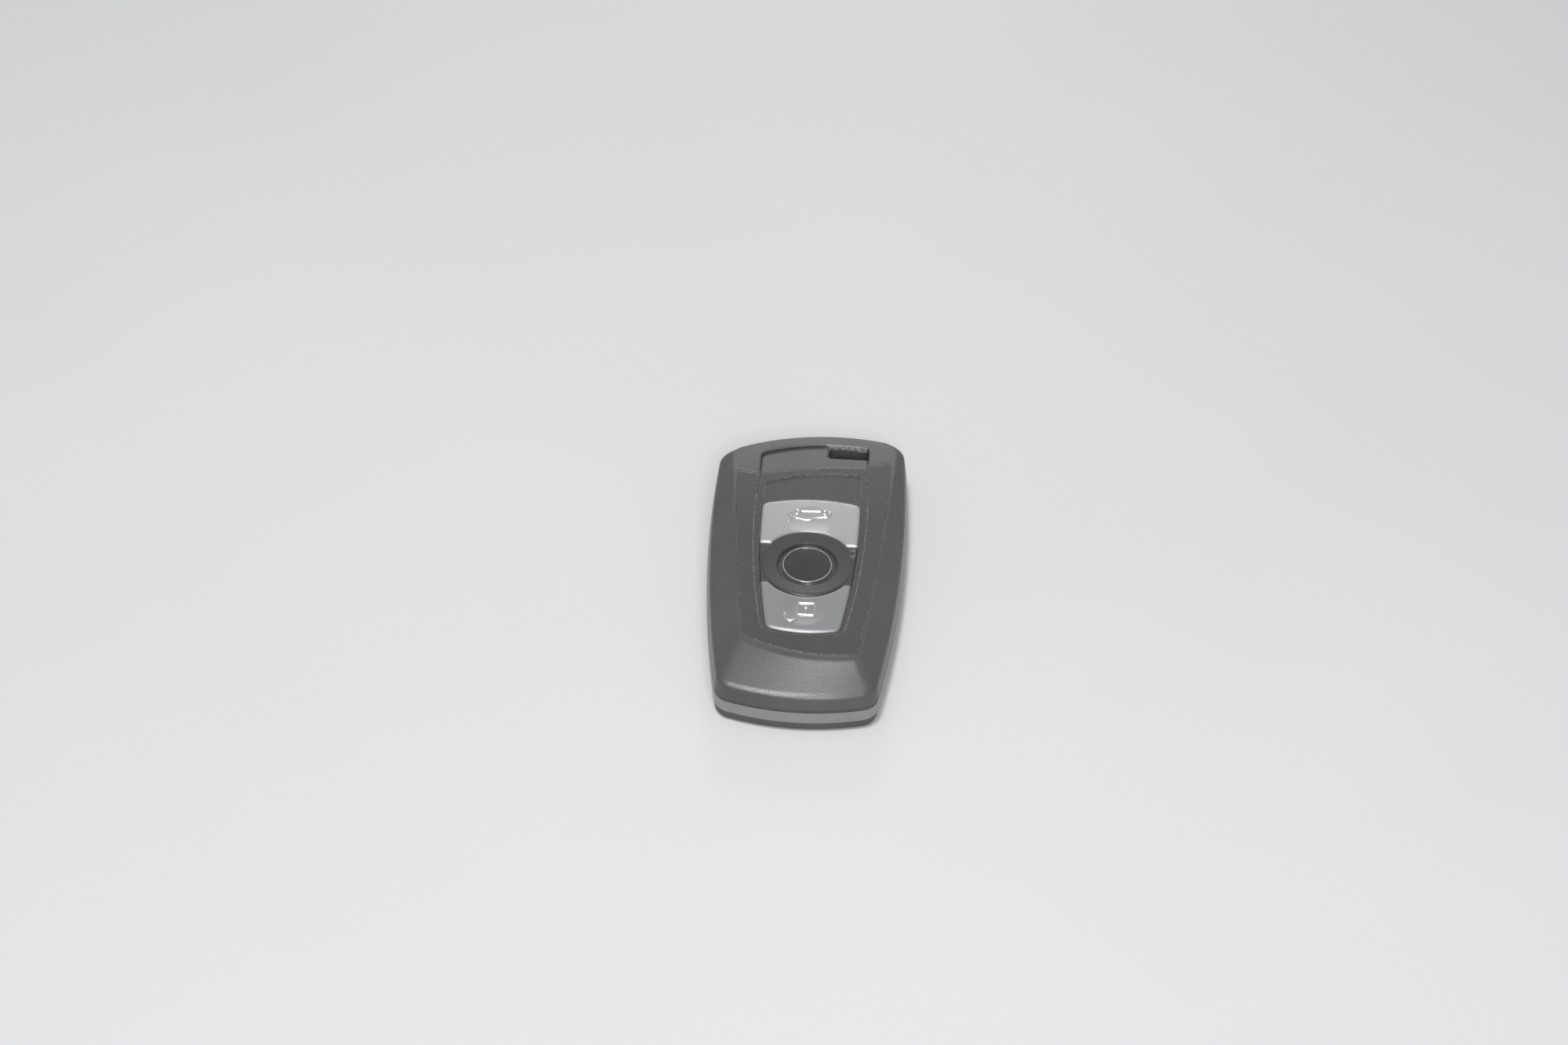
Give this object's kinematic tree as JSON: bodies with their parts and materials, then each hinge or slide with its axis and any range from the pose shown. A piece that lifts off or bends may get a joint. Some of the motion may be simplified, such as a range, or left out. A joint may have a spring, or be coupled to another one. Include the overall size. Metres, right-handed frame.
{
  "type": "car key fob",
  "caption": "Smart-key fob with boot, lock and unlock buttons, a pull-out emergency key, a release latch and a coin-cell cover.",
  "frame": {"origin": "middle of the casing's outline, on the flat of its back", "axes": "+X to the right of the button face, +Y along the fob to the key-ring end, +Z out of the button face"},
  "size_m": [0.0444, 0.0828, 0.0123],
  "materials": {
    "shell_grey": "fine-grained satin",
    "gloss_black": "piano gloss",
    "silver_paint": "satin metallic",
    "band_grey": "satin metallic",
    "bright_rim": "polished",
    "black_rubber": "matte",
    "board_green": "solder mask",
    "black_resin": "moulded",
    "ferrite": "sintered",
    "copper_wire": "enamelled",
    "steel": "brushed",
    "spring_steel": "drawn",
    "cell_steel": "nickel plated",
    "chip_body": "ceramic"
  },
  "bodies": {
    "housing": {"upper_shell": "shell_grey", "gloss_panel": "gloss_black", "middle_frame": "band_grey", "lower_shell": "shell_grey", "keypad_mat": "black_rubber", "circuit_board": "board_green", "boot_switch": "spring_steel", "lock_switch": "spring_steel", "unlock_switch": "spring_steel", "radio_chip": "black_resin", "crystal": "spring_steel", "antenna_core": "ferrite", "antenna_winding": "copper_wire", "transponder": "black_resin", "chip_capacitors": "chip_body", "coin_cell": "cell_steel", "positive_contact": "spring_steel", "negative_contact": "spring_steel", "latch_spring": "spring_steel"},
    "boot_button": {"boot_button": "silver_paint"},
    "lock_button": {"lock_button": "gloss_black", "badge_disc": "gloss_black", "badge_rim": "bright_rim"},
    "unlock_button": {"unlock_button": "silver_paint"},
    "boot_plunger": {"boot_plunger": "black_resin"},
    "lock_plunger": {"lock_plunger": "black_resin"},
    "unlock_plunger": {"unlock_plunger": "black_resin"},
    "emergency_key": {"key_bow": "shell_grey", "key_blade": "steel"},
    "release_latch": {"release_latch": "shell_grey"},
    "battery_cover": {"battery_cover": "shell_grey", "cover_seal": "black_rubber"}
  },
  "joints": [
    {"name": "boot_press", "type": "slide", "parent": "housing", "child": "boot_button", "axis": [0, 0, -1], "range_m": [0, 0.0005], "stiffness_N_per_m": 5000},
    {"name": "boot_plunger_press", "type": "slide", "parent": "housing", "child": "boot_plunger", "axis": [0, 0, -1], "range_m": [0, 0.0005]},
    {"name": "lock_press", "type": "slide", "parent": "housing", "child": "lock_button", "axis": [0, 0, -1], "range_m": [0, 0.0005], "stiffness_N_per_m": 5000},
    {"name": "lock_plunger_press", "type": "slide", "parent": "housing", "child": "lock_plunger", "axis": [0, 0, -1], "range_m": [0, 0.0005]},
    {"name": "unlock_press", "type": "slide", "parent": "housing", "child": "unlock_button", "axis": [0, 0, -1], "range_m": [0, 0.0005], "stiffness_N_per_m": 5000},
    {"name": "unlock_plunger_press", "type": "slide", "parent": "housing", "child": "unlock_plunger", "axis": [0, 0, -1], "range_m": [0, 0.0005]},
    {"name": "key_pull", "type": "slide", "parent": "housing", "child": "emergency_key", "axis": [0, 1, 0], "range_m": [0, 0.055]},
    {"name": "latch_slide", "type": "slide", "parent": "housing", "child": "release_latch", "axis": [1, 0, 0], "range_m": [0, 0.002], "stiffness_N_per_m": 500, "deforming": ["latch_spring"]},
    {"name": "cover_lift", "type": "slide", "parent": "housing", "child": "battery_cover", "axis": [0, 0, -1], "range_m": [0, 0.006]}
  ],
  "couplings": [
    {"joint": "boot_plunger_press", "follows": "boot_press", "ratio": 1},
    {"joint": "lock_plunger_press", "follows": "lock_press", "ratio": 1},
    {"joint": "unlock_plunger_press", "follows": "unlock_press", "ratio": 1}
  ]
}
